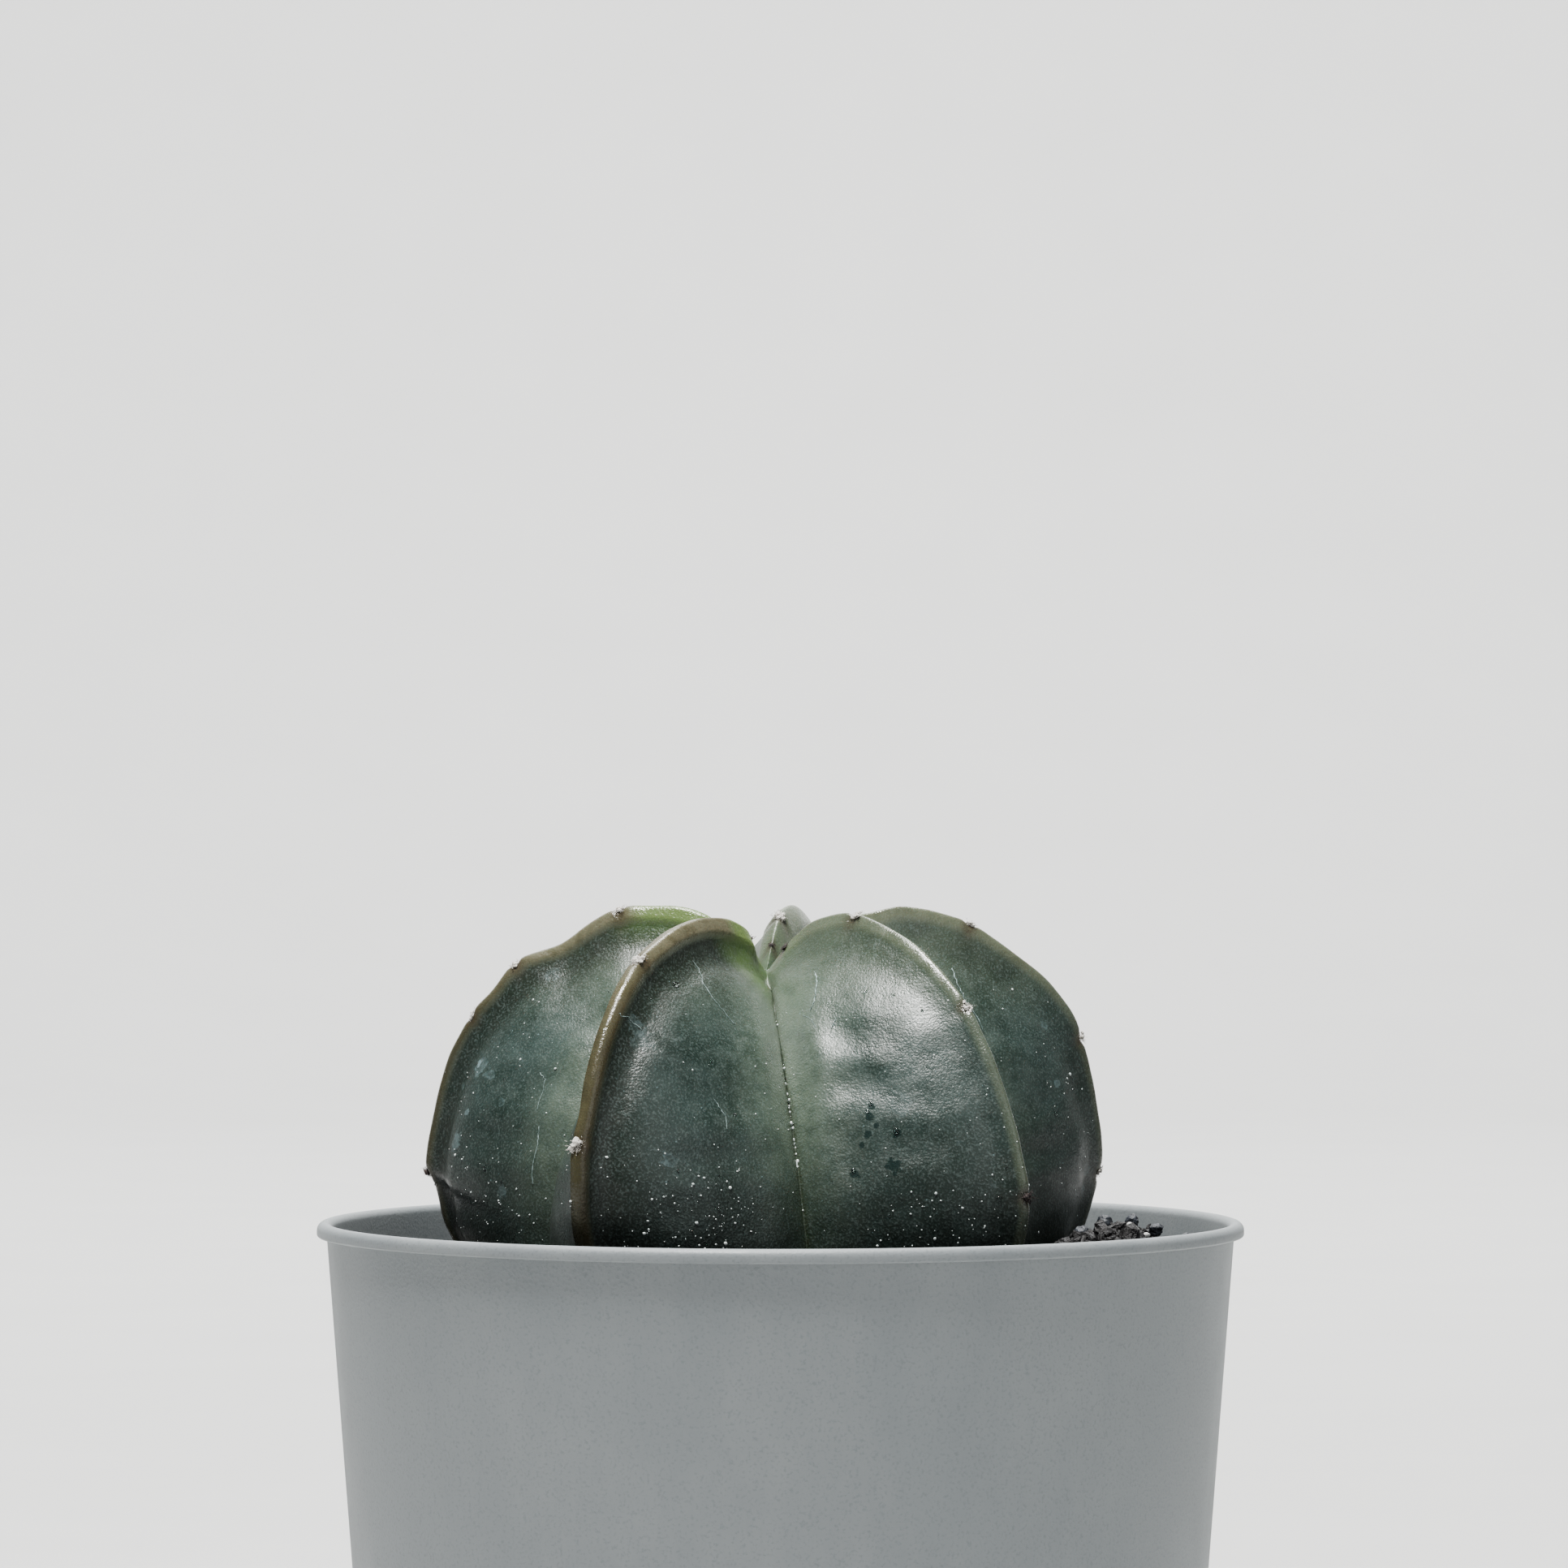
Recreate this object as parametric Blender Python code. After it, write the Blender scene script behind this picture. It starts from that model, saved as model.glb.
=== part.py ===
"""Potted bishop's cap cactus: a low five-ribbed plant in a thin-walled round nursery pot.

Metres, +Z up. The origin is the centre of the pot's underside, and the front is -Y.
Azimuths are measured from the front, positive towards +X.
"""

import math

import bmesh
import bpy
import numpy as np

MM = 0.001
CLEARANCE = 0.3 * MM  # between pieces that rest against each other

# Pot
POT_HEIGHT = 88 * MM
RIM_RADIUS = 52.5 * MM  # outside of the rolled bead
BEAD_HEIGHT = 1.6 * MM
BEAD_OVERHANG = 1.0 * MM  # how far the bead stands out from the wall
WALL = 0.8 * MM
TAPER = math.radians(4.4)
FLOOR_RISE = 2.0 * MM  # how far the floor is raised above the foot ring
FLOOR_THICKNESS = 1.4 * MM
FOOT_WIDTH = 3.0 * MM
DRAIN_COUNT = 6
DRAIN_RADIUS = 3.2 * MM
DRAIN_CIRCLE = 33 * MM
POT_SEGMENTS = 72

# Plant. Its axis stands a little left of the pot's.
PLANT_X = -1.6 * MM
# One rib: its name, its crest's azimuth in degrees, how far its crown stands higher and its shoulder
# stands out further than the common crest in mm, how far the groove after it leans, in degrees, and
# how full its two flanks are, before and after the crest
RIBS = (
    ("left", -106, 0.0, -0.1, 0, 0.85, 0.85),
    ("front_left", -31, -1.3, -0.4, 5, 0.50, 0.85),
    ("front_right", 46, -0.9, -1.7, 2, 0.85, 0.85),
    ("right", 108, -0.3, 0.8, 0, 0.85, 0.85),
    ("back", 168, 0.0, 0.0, -3, 1.15, 1.15),
)
# Radius and height above the rim in mm, from the sunken apex over the shoulder and down to the root
# tip, first along a rib's crest and then along the groove beside it. Both have the same stations.
CREST = (
    (0, 28.3), (3.4, 31.7), (7.6, 34.7), (13.0, 35.7), (20.0, 34.4), (27.0, 30.9), (32.8, 25.9),
    (37.2, 18.7), (39.9, 10.0), (40.3, 3.7), (38.7, -1.9), (34.6, -8.5), (27.0, -15.5),
    (15.5, -21.5), (6.5, -30.0), (3.2, -41.0), (0, -50.0),
)
GROOVE = (
    (0, 28.3), (3.0, 27.5), (7.0, 25.9), (11.4, 23.3), (15.4, 19.9), (18.6, 16.1), (21.1, 12.1),
    (23.2, 7.9), (24.6, 3.5), (25.3, -0.7), (25.2, -5.3), (24.0, -10.5), (20.0, -16.5),
    (12.8, -22.0), (6.2, -30.0), (3.2, -41.0), (0, -50.0),
)
CROWN_STATION = 3
SHOULDER_STATION = 6.5
SPREAD = 2.2  # stations over which a crown or a shoulder fades out
LEAN_STATION = 6  # a leaning groove crosses its upright line here
ACROSS_RIB = (0, 0.07, 0.16, 0.32, 0.5, 0.7, 0.88)  # shares of the way from crest to groove
ALONG_RIB = 30  # rings from the apex to the root tip

# Wool tufts: how far along each crest from the apex, in mm
AREOLES = {
    "left": (5, 20, 34, 42, 61),
    "front_left": (6, 30, 54),
    "front_right": (4, 16, 36, 59),
    "right": (5, 27, 46, 62),
    "back": (4, 9, 34, 57),
}
TUFT_RADIUS = {  # on each rib
    "left": 0.85 * MM,
    "front_left": 1.15 * MM,
    "front_right": 0.90 * MM,
    "right": 0.80 * MM,
    "back": 0.95 * MM,
}
TUFT_HEIGHT = 0.6  # of its radius
YOUNG_TUFT = 0.65  # the innermost tuft of each rib, next to the others'

# Potting mix
SOIL_DEPTH = 7.0 * MM  # its surface below the rim
# The mound at the right: its height, its azimuth and spread in degrees, its distance and spread
SOIL_HEAP = (6.4 * MM, 74, 38, 39 * MM, 6.5 * MM)
SOIL_SWELL = 0.5 * MM
SOIL_RINGS = 7
WELL_RINGS = 8

# Loose bits on the surface: perlite is white and rounded, gravel is dark and angular
PERLITE_COUNT = 8
GRAVEL_COUNT = 8
BIT_RADIUS = (1.0 * MM, 1.7 * MM)
# Further gravel on the mound: x, y and radius
MOUND_GRAVEL = (
    (39.8 * MM, -1.5 * MM, 1.3 * MM), (36.6 * MM, -5.8 * MM, 1.2 * MM),
    (42.2 * MM, -7.0 * MM, 1.0 * MM), (33.6 * MM, -12.5 * MM, 1.2 * MM),
)
SEED = 11


def remove_everything():
    for ob in list(bpy.data.objects):
        bpy.data.objects.remove(ob, do_unlink=True)


def material(name, colour, roughness):
    """A plain Principled material; colour is linear RGB."""
    made = bpy.data.materials.new(name)
    made.use_nodes = True
    shader = made.node_tree.nodes["Principled BSDF"]
    shader.inputs["Base Color"].default_value = (*colour, 1)
    shader.inputs["Roughness"].default_value = roughness
    shader.inputs["Metallic"].default_value = 0
    made.diffuse_color = (*colour, 1)
    return made


def place(name, mesh, look, sharp_degrees=40):
    ob = bpy.data.objects.new(name, mesh)
    bpy.context.collection.objects.link(ob)
    mesh.materials.append(look)
    mesh.shade_smooth()
    mesh.set_sharp_from_angle(angle=math.radians(sharp_degrees))
    return ob


def skin(name, loops, start, end):
    """A closed mesh through equal loops of points, with a single point at each end."""
    bm = bmesh.new()
    first, last = bm.verts.new(start), bm.verts.new(end)
    rings = [[bm.verts.new(p) for p in loop] for loop in loops]
    count = len(rings[0])
    for i in range(count):
        j = (i + 1) % count
        bm.faces.new((first, rings[0][j], rings[0][i]))
        bm.faces.new((last, rings[-1][i], rings[-1][j]))
        for a, b in zip(rings, rings[1:]):
            bm.faces.new((a[i], a[j], b[j], b[i]))
    bmesh.ops.recalc_face_normals(bm, faces=bm.faces)
    mesh = bpy.data.meshes.new(name)
    bm.to_mesh(mesh)
    bm.free()
    return mesh


def around(radius, z, segments):
    return [
        (radius * math.sin(turn), -radius * math.cos(turn), z)
        for turn in (2 * math.pi * k / segments for k in range(segments))
    ]


# Pot ----------------------------------------------------------------------------------------------


def wall_radius(z):
    """The wall's outer radius at height z."""
    return RIM_RADIUS - BEAD_OVERHANG - (POT_HEIGHT - z) * math.tan(TAPER)


def pot_profile():
    """Radius and height from the underside's centre, out over the foot and rim, to the floor's."""
    foot, top = wall_radius(0), POT_HEIGHT
    inner = wall_radius(top) - WALL
    bend = 0.8 * MM
    round_top = [
        (
            inner + bend + (RIM_RADIUS - inner - 2 * bend) * side + bend * math.cos(turn),
            top - bend + bend * math.sin(turn),
        )
        for side, turn in [(1, math.radians(a)) for a in (0, 45, 90)]
        + [(0, math.radians(a)) for a in (90, 135, 180)]
    ]
    floor = FLOOR_RISE + FLOOR_THICKNESS
    return [
        (foot - FOOT_WIDTH - FLOOR_RISE, FLOOR_RISE),
        (foot - FOOT_WIDTH, 0),
        (foot - 0.5 * MM, 0),
        (foot, 0.6 * MM),
        (wall_radius(top - BEAD_HEIGHT), top - BEAD_HEIGHT),
        (RIM_RADIUS, top - BEAD_HEIGHT + 0.1 * MM),
        *round_top,
        (wall_radius(floor + 2 * MM) - WALL, floor + 2 * MM),
        (wall_radius(floor) - WALL - 2 * MM, floor),
    ]


def drain_cutter():
    """The drain holes' punches, joined in one guide object."""
    bm = bmesh.new()
    for k in range(DRAIN_COUNT):
        turn = 2 * math.pi * (k + 0.5) / DRAIN_COUNT
        made = bmesh.ops.create_cone(
            bm, cap_ends=True, segments=16, radius1=DRAIN_RADIUS, radius2=DRAIN_RADIUS, depth=8 * MM
        )
        middle = (DRAIN_CIRCLE * math.sin(turn), -DRAIN_CIRCLE * math.cos(turn), FLOOR_RISE)
        bmesh.ops.translate(bm, verts=made["verts"], vec=middle)
    mesh = bpy.data.meshes.new("drain_cutter")
    bm.to_mesh(mesh)
    bm.free()
    cutter = bpy.data.objects.new("drain_cutter", mesh)
    bpy.context.collection.objects.link(cutter)
    cutter.hide_render = True
    cutter.display_type = "WIRE"
    return cutter


def make_pot(look):
    loops = [around(r, z, POT_SEGMENTS) for r, z in pot_profile()]
    mesh = skin("pot", loops, (0, 0, FLOOR_RISE), (0, 0, FLOOR_RISE + FLOOR_THICKNESS))
    pot = place("pot", mesh, look, sharp_degrees=30)
    cut = pot.modifiers.new("drain_holes", "BOOLEAN")
    cut.operation = "DIFFERENCE"
    cut.solver = "EXACT"
    cut.object = drain_cutter()


# Plant --------------------------------------------------------------------------------------------


def through(points, t):
    """The smooth curve through the points at station t, which counts points from 0."""
    p = np.asarray(points, float)
    p = np.vstack([2 * p[0] - p[1], p, 2 * p[-1] - p[-2]])
    i = np.clip(np.floor(t).astype(int), 0, len(points) - 2)
    s = (t - i)[..., None]
    a, b, c, d = p[i], p[i + 1], p[i + 2], p[i + 3]
    return b + 0.5 * s * (c - a + s * (2 * a - 5 * b + 4 * c - d + s * (3 * (b - c) + d - a)))


def crest_line(t, crown, shoulder):
    """A crest's (radius, height) in metres at stations t."""
    fade = [np.exp(-(((t - at) / SPREAD) ** 2)) for at in (CROWN_STATION, SHOULDER_STATION)]
    line = through(CREST, t)
    line[..., 0] += shoulder * fade[1]
    line[..., 1] += crown * fade[0] + 0.8 * shoulder * fade[1]
    return line * MM


def columns():
    """(crest azimuth, step to the groove, groove's lean, share of the step, crown, shoulder, fullness)
    of each line of points around the plant."""
    found = []
    for rib, after in zip(RIBS, RIBS[1:] + RIBS[:1]):
        _, here, crown, shoulder, lean, _, full = rib
        _, ahead, next_crown, next_shoulder, _, next_full, _ = after
        half = ((ahead - here) % 360) / 2
        found += [(here, half, lean, u, crown, shoulder, full) for u in (*ACROSS_RIB, 1)]
        found += [
            (here + 2 * half, -half, lean, u, next_crown, next_shoulder, next_full)
            for u in ACROSS_RIB[:0:-1]
        ]
    return found


def body_points(t):
    """Points of the plant at stations t, an array of one row per ring and one column per line."""
    lines = []
    for k, (azimuth, step, lean, share, crown, shoulder, full) in enumerate(columns()):
        stations = t[:, k]
        crest, groove = crest_line(stations, crown, shoulder), through(GROOVE, stations) * MM
        radius, height = (crest + (groove - crest) * share**full).T
        leaning = lean * np.clip(stations / LEAN_STATION - 1, -1, 1)
        turn = np.radians(azimuth + share * (step + leaning))
        x, y = PLANT_X + radius * np.sin(turn), -radius * np.cos(turn)
        lines.append(np.stack([x, y, POT_HEIGHT + height], axis=1))
    return np.stack(lines, axis=1)


def make_body(look):
    count = len(columns())
    rings = np.linspace(0, 1, ALONG_RIB + 1)[1:-1]
    stations = (len(CREST) - 1) * rings[:, None] * np.ones(count)
    apex, tip = ((PLANT_X, 0, POT_HEIGHT + CREST[end][1] * MM) for end in (0, -1))
    place("cactus_body", skin("cactus_body", body_points(stations), apex, tip), look)


def crest_frames(rib):
    """Point and outward direction on a rib's crest at each of the rib's areoles."""
    name, azimuth, crown, shoulder = rib[:4]
    line = crest_line(np.linspace(0, len(CREST) - 1, 800), crown, shoulder)
    step = np.diff(line, axis=0)
    along = np.concatenate([[0], np.cumsum(np.hypot(*step.T))])
    turn = math.radians(azimuth)
    for distance in AREOLES[name]:
        i = int(np.searchsorted(along, distance * MM))
        out, up = -step[i][1], step[i][0]
        size = math.hypot(out, up)
        yield line[i], (out / size, up / size), turn


def outwards(turn, radius, height):
    """The point at this radius and height on the plant's side that faces azimuth turn."""
    return np.array([radius * math.sin(turn), -radius * math.cos(turn), height])


def tuft_mesh():
    """A domed pad of wool of radius 1, its base on z = 0."""
    bm = bmesh.new()
    bmesh.ops.create_icosphere(bm, subdivisions=2, radius=1)
    for v in bm.verts:
        v.co.z = (v.co.z * 0.5 + 0.5) * TUFT_HEIGHT
    mesh = bpy.data.meshes.new("tuft")
    bm.to_mesh(mesh)
    bm.free()
    return mesh


def make_tufts(look):
    base = tuft_mesh()
    centre = np.array([PLANT_X, 0, POT_HEIGHT])
    for rib in RIBS:
        for number, ((radius, height), (out, up), turn) in enumerate(crest_frames(rib), 1):
            normal = outwards(turn, out, up)
            side = np.array([math.cos(turn), math.sin(turn), 0])
            spot = centre + outwards(turn, radius, height) + normal * CLEARANCE
            mesh = base.copy()
            size = TUFT_RADIUS[rib[0]] * (YOUNG_TUFT if number == 1 else 1)
            axes = np.array([side, np.cross(normal, side), normal]) * size
            for v in mesh.vertices:
                v.co = spot + np.array(v.co) @ axes
            place(f"areole_{rib[0]}_{number}", mesh, look)
    bpy.data.meshes.remove(base)


# Potting mix --------------------------------------------------------------------------------------


def soil_height(x, y):
    """The surface's height: level, with low swells and a mound along the plant's right side."""
    mound, azimuth, arc, distance, spread = SOIL_HEAP
    beside = (np.degrees(np.arctan2(x, -y)) - azimuth) / arc
    outside = (np.hypot(x, y) - distance) / spread
    heap = mound * np.exp(-(beside**2) - outside**2)
    swell = np.sin(x / (7 * MM) + 1) * np.cos(y / (9 * MM)) + 0.5 * np.sin((x + y) / (5 * MM))
    return POT_HEIGHT - SOIL_DEPTH + heap + SOIL_SWELL * swell


def well_stations():
    """Where the plant's side enters the soil on each line of points, as stations."""
    t = np.linspace(9, len(CREST) - 1, 400)
    count = len(columns())
    points = body_points(t[:, None] * np.ones(count))
    above = points[..., 2] - soil_height(points[..., 0], points[..., 1])
    return t[(above > 0).sum(axis=0)]


def swollen(t, gap):
    """The plant's points at stations t, moved out of its surface by the gap."""
    here, nudge = body_points(t), 0.05
    along = body_points(t + nudge) - body_points(t - nudge)
    across = np.roll(here, -1, axis=1) - np.roll(here, 1, axis=1)
    normal = np.cross(along, across)
    return here + normal / np.linalg.norm(normal, axis=2, keepdims=True) * gap


def make_soil(look):
    """The mix that fills the pot, with a well that the plant's buried part stands in."""
    floor = FLOOR_RISE + FLOOR_THICKNESS + CLEARANCE
    turns = np.radians([azimuth + share * step for azimuth, step, _, share, *_ in columns()])
    around_pot = np.stack([np.sin(turns), -np.cos(turns)], axis=1)

    def by_wall(z):
        radius = wall_radius(z) - WALL - CLEARANCE
        return np.concatenate([around_pot * np.reshape(radius, (-1, 1)), z[:, None]], axis=1)

    def level(z):
        return np.full(len(turns), z)

    bottom = by_wall(level(floor))
    bottom[:, :2] *= 1 - 2.2 * MM / wall_radius(floor)
    rim = by_wall(level(POT_HEIGHT - SOIL_DEPTH))
    rim[:, 2] = soil_height(rim[:, 0], rim[:, 1])
    start = well_stations()
    mouth = swollen(start[None], CLEARANCE)[0]
    loops = [bottom * [0.5, 0.5, 1], bottom, by_wall(level(floor + 2.2 * MM))]
    loops += [by_wall(level(floor + share * (POT_HEIGHT - SOIL_DEPTH - floor))) for share in (0.35, 0.7)]
    for share in np.linspace(0, 1, SOIL_RINGS):
        ring = rim + (mouth - rim) * share
        ring[:, 2] = soil_height(ring[:, 0], ring[:, 1])
        loops.append(ring)
    last = len(CREST) - 1.3
    for share in np.linspace(0, 1, WELL_RINGS + 1)[1:]:
        loops.append(swollen((start + (last - start) * share)[None], CLEARANCE)[0])
    well_tip = (PLANT_X, 0, POT_HEIGHT + CREST[-1][1] * MM - 2 * CLEARANCE)
    place("soil", skin("soil", loops, (0, 0, floor), well_tip), look)


def make_bit(name, x, y, size, look, rounded, rng):
    """A loose bit that lies on the soil at (x, y)."""
    bm = bmesh.new()
    bmesh.ops.create_icosphere(bm, subdivisions=2 if rounded else 1, radius=size)
    squash = rng.uniform(0.6, 0.85)
    for v in bm.verts:
        v.co *= rng.uniform(0.9, 1.0)
        v.co.z *= squash
    lowest = min(v.co.z for v in bm.verts)
    ground = max(soil_height(x + size * dx, y + size * dy) for dx in (-1, 0, 1) for dy in (-1, 0, 1))
    bmesh.ops.translate(bm, verts=bm.verts, vec=(x, y, ground - lowest + CLEARANCE))
    mesh = bpy.data.meshes.new(name)
    bm.to_mesh(mesh)
    bm.free()
    place(name, mesh, look, sharp_degrees=60 if rounded else 20)


def make_bits(name, count, look, rounded, rng):
    """Bits spread around the soil between the plant and the pot's wall."""
    outer = wall_radius(POT_HEIGHT - SOIL_DEPTH) - WALL
    for number in range(1, count + 1):
        size = rng.uniform(*BIT_RADIUS)
        turn = 2 * math.pi * (number + rng.uniform(-0.3, 0.3)) / count + (0.4 if rounded else 0)
        radius = outer - size - rng.uniform(1.0, 4.0) * MM
        x, y = radius * math.sin(turn), -radius * math.cos(turn)
        make_bit(f"{name}_{number}", x, y, size, look, rounded, rng)


def main():
    rng = np.random.default_rng(SEED)
    remove_everything()
    make_pot(material("pot", (0.36, 0.36, 0.35), 0.55))
    make_soil(material("soil", (0.035, 0.026, 0.02), 0.95))
    make_body(material("cactus_skin", (0.10, 0.16, 0.12), 0.45))
    make_tufts(material("areole_wool", (0.72, 0.68, 0.58), 0.95))
    make_bits("perlite", PERLITE_COUNT, material("perlite", (0.7, 0.69, 0.66), 0.9), True, rng)
    gravel = material("gravel", (0.09, 0.075, 0.06), 0.85)
    make_bits("gravel", GRAVEL_COUNT, gravel, False, rng)
    for number, (x, y, size) in enumerate(MOUND_GRAVEL, GRAVEL_COUNT + 1):
        make_bit(f"gravel_{number}", x, y, size, gravel, False, rng)


main()
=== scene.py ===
"""The looks of the potted bishop's cap cactus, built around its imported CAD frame.

Metres, +Z up, front at -Y. Azimuths are degrees from the front, positive towards +X.
"""

import math

import bmesh
import bpy
import numpy as np
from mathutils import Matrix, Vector
from mathutils.bvhtree import BVHTree


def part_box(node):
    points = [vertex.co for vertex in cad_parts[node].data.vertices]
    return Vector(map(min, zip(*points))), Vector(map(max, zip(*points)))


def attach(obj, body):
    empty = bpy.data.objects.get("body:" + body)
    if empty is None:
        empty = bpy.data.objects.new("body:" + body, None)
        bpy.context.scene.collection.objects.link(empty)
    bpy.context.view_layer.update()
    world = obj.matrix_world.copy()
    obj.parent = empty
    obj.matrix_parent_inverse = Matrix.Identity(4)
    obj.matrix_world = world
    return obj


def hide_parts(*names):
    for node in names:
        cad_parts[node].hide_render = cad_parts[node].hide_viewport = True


MM = 0.001
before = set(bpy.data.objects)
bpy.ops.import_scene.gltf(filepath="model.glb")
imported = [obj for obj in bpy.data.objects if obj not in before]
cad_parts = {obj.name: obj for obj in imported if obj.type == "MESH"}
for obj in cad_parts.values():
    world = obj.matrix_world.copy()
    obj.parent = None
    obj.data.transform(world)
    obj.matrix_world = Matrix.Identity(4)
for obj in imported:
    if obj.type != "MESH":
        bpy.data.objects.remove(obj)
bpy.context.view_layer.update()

# Places and sizes that the frame gives
POT_LOW, POT_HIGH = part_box("pot")
RIM_Z = POT_HIGH.z
RIM_RADIUS = (POT_HIGH.x - POT_LOW.x) / 2
PLANT_X = -1.6 * MM
BODY_LOW, BODY_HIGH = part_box("cactus_body")

# The plant, as in the CAD: name, azimuth, crown, shoulder in mm, the lean of the next groove in
# degrees, and how full the flanks before and after the crest are
RIBS = (
    ("left", -106, 0.0, -0.1, 0, 0.85, 0.85),
    ("front_left", -31, -1.3, -0.4, 5, 0.50, 0.85),
    ("front_right", 46, -0.9, -1.7, 2, 0.85, 0.85),
    ("right", 108, -0.3, 0.8, 0, 0.85, 0.85),
    ("back", 168, 0.0, 0.0, -3, 1.15, 1.15),
)
# Radius and height above the rim in mm, from the apex to the root tip
CREST = (
    (0, 28.3), (3.4, 31.7), (7.6, 34.7), (13.0, 35.7), (20.0, 34.4), (27.0, 30.9), (32.8, 25.9),
    (37.2, 18.7), (39.9, 10.0), (40.3, 3.7), (38.7, -1.9), (34.6, -8.5), (27.0, -15.5),
    (15.5, -21.5), (6.5, -30.0), (3.2, -41.0), (0, -50.0),
)
GROOVE = (
    (0, 28.3), (3.0, 27.5), (7.0, 25.9), (11.4, 23.3), (15.4, 19.9), (18.6, 16.1), (21.1, 12.1),
    (23.2, 7.9), (24.6, 3.5), (25.3, -0.7), (25.2, -5.3), (24.0, -10.5), (20.0, -16.5),
    (12.8, -22.0), (6.2, -30.0), (3.2, -41.0), (0, -50.0),
)
CROWN_STATION = 3
SHOULDER_STATION = 6.5
SPREAD = 2.2
LEAN_STATION = 6
LAST = len(CREST) - 1
SOIL_STATION = 11.6  # just under the soil, where the fine skin ends

# How far along each crest its areoles stand, in mm from the apex
AREOLES = {
    "left": (5, 20, 34, 42, 61),
    "front_left": (6, 30, 54),
    "front_right": (4, 16, 36, 59),
    "right": (5, 27, 46, 62),
    "back": (4, 9, 34, 57),
}

# The skin's relief, in mm
DIP_DISTANCE = 1.5  # the hollow beside a crest's welt, from the welt's edge
DIP_DEPTH = 0.7
NOTCH = 0.4
SWELLING = 0.3  # the flanks' slow unevenness
RIPPLE = 0.13  # low folds across the flanks
RIPPLE_LENGTH = 7.1
RIPPLE_TOP = 19.2
# A crest's smooth welt: half its width and its height in mm, how brown it is, how green its crown
# is, how far from the apex in mm the brown takes over, and how far across in mm the green reaches
WELTS = {
    "left": (0.95, 0.35, 0.85, 0.8, 18, 1.8),
    "front_left": (1.2, 0.55, 1.00, 1.0, 12, 6.5),
    "front_right": (0.9, 0.12, 0.15, 0.3, 5, 4),
    "right": (0.8, 0.12, 0.35, 0.3, 12, 3),
    "back": (1.8, 0.25, 0.10, 0.3, 3, 4),
}
# How far each crest bulges (or sags, where negative) in mm, at arc lengths in mm from the apex
BULGES = {
    "left": (
        (5, -0.2), (20, -0.3), (28, -1.3), (34, -0.1), (38, -0.3), (42, 0.0), (47, 0.3), (54, 0.0),
        (60.5, -0.1), (62.5, -1.1), (68, -0.9), (76, -0.5),
    ),
    "front_left": ((4, 0.2), (8, -1.0), (12, -0.6), (17, -0.1), (30, 0.0), (54, 0.0)),
    "front_right": ((4, 0.0), (16, 0.0), (26, -0.1), (36, 0.0), (48, 0.1), (59, 0.0)),
    "right": (
        (4, -0.7), (10, -1.7), (14, -0.8), (19, 0.3), (24, 0.5), (33, 0.3), (42, 0.7), (48, 0.2),
        (54, 0.0), (59, -0.2), (63, -0.7), (72, -0.5),
    ),
    "back": ((6, -0.3), (13, -0.4), (24, -0.3), (34, 0.2), (46, -0.3), (57, 0.1)),
}

DARK_AREOLES = (
    "areole_left_1", "areole_front_left_1", "areole_front_right_1", "areole_right_1", "areole_back_1",
    "areole_front_right_4", "areole_left_5",
)
SMALL_AREOLES = {  # the tuft's size over its pad's
    "areole_right_1": 0.18, "areole_back_1": 0.18, "areole_left_5": 0.28, "areole_front_right_4": 0.34,
}

# What lies on the skin, at (azimuth in degrees, height in mm above the rim)
LIME_MARKS = (  # with radius in mm, how bright the middle is, and how strong
    (-98.8, 17.6, 0.45, 1.0, 0.75), (-98.0, 17.3, 1.3, 0.3, 0.35), (-101.9, 14.8, 0.5, 0.8, 0.6),
    (-96.6, 12.1, 0.45, 0.8, 0.5), (-97.6, 8.6, 1.2, 0.9, 0.45), (-94.5, 16.4, 0.9, 0.3, 0.3),
    (-89.0, 13.5, 0.6, 0.5, 0.3), (-83.0, 3.5, 0.8, 0.6, 0.3), (-18.1, 8.6, 0.9, 0.1, 0.35),
    (-26.0, 21.6, 1.5, 0.8, 0.25), (-27.8, 23.2, 0.9, 0.8, 0.22), (30.3, 14.1, 1.3, 0.6, 0.12),
    (99.7, 15.3, 0.6, 0.5, 0.35), (104.9, 5.3, 0.8, 0.7, 0.3), (105.1, 2.9, 0.6, 0.8, 0.35),
    (103.2, 22.0, 0.6, 0.4, 0.25), (140, 14, 1.1, 0.3, 0.3), (-150, 10, 1.2, 0.4, 0.3),
)
WET_MARKS = (  # with radius in mm
    (25.2, 14.0, 0.40), (24.4, 12.9, 0.55), (25.4, 12.0, 0.40), (23.6, 11.0, 0.45),
    (28.7, 11.2, 0.60), (22.3, 9.8, 0.40), (20.4, 6.6, 0.55), (27.2, 7.6, 0.90),
)
SPECK_PATCHES = (  # with the spread in degrees and in mm, and how many
    (-17, 0, 8, 4.0, 190), (-8, 4, 5, 3.0, 40), (33, 0, 9, 3.5, 110), (44, 8, 3, 6.0, 30),
    (-88, 1, 9, 3.5, 80), (60, 2, 12, 4.0, 60), (-150, 1, 14, 4.0, 120), (140, 1, 12, 4.0, 110),
    (100, 10, 6, 9.0, 40), (-95, 10, 6, 8.0, 60),
)
WATER_DROPS = (  # with radius in mm
    (25.2, 14.3, 0.28), (24.3, 13.5, 0.22), (28.7, 11.4, 0.36), (20.2, 7.1, 0.30),
    (-25.0, 27.3, 0.34), (-13.3, 19.0, 0.20), (-7.3, 13.2, 0.22), (39.8, 24.4, 0.24),
    (36.9, 26.1, 0.26), (32.5, 26.4, 0.22), (42.5, 4.0, 0.30), (-92.0, 2.0, 0.30), (-88.0, 6.0, 0.28),
    (60.0, 16.0, 0.3), (97.5, 12.0, 0.3), (-160, 9, 0.32), (150, 6, 0.28), (-135, 4, 0.3),
)
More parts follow.
